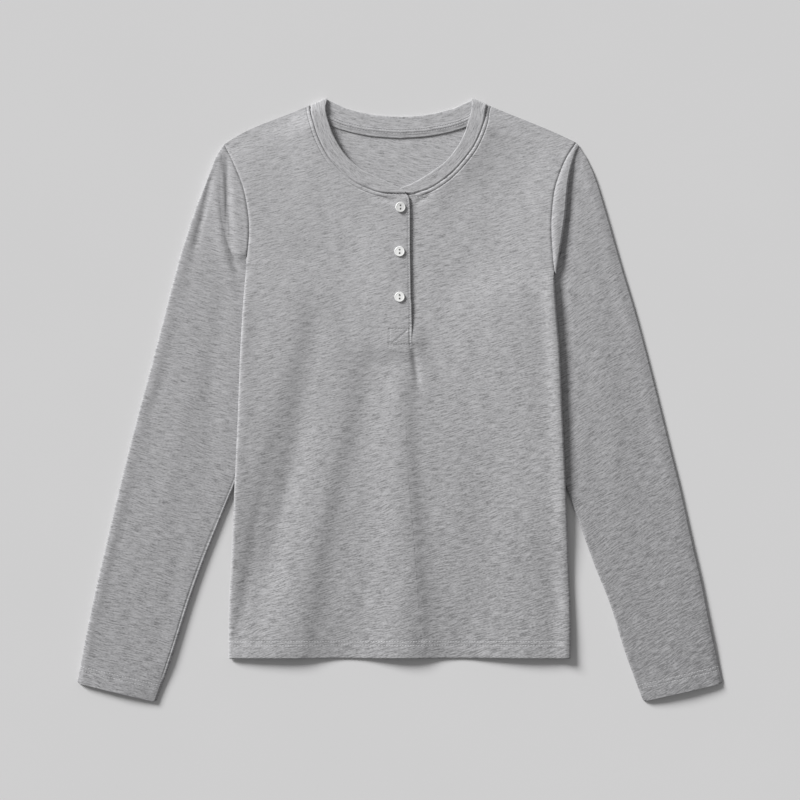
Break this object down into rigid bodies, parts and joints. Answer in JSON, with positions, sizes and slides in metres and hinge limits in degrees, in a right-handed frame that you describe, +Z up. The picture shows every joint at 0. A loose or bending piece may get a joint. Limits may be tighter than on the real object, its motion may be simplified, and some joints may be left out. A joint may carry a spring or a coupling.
{
  "type": "henley shirt",
  "caption": "Long-sleeved knit henley shirt lying flat, sleeves turned down, round neckband and a buttoned placket with a stitched end box.",
  "frame": {"origin": "centre of the bounding box in plan, on the surface that the shirt lies on", "axes": "+X to the right as seen from above, +Y toward the neck, +Z up out of the surface"},
  "size_m": [0.7228, 0.6756, 0.0112],
  "materials": {
    "jersey": "matte heather grey jersey",
    "tape": "matte self-fabric tape",
    "pearl": "pale pearl gloss"
  },
  "bodies": {
    "root": {"front": "jersey", "back": "jersey", "sleeve_left": "jersey", "sleeve_right": "jersey", "neckband": "jersey", "neck_tape": "tape", "placket_top": "jersey", "placket_under": "jersey", "button_top": "pearl", "button_middle": "pearl", "button_bottom": "pearl"}
  },
  "joints": []
}
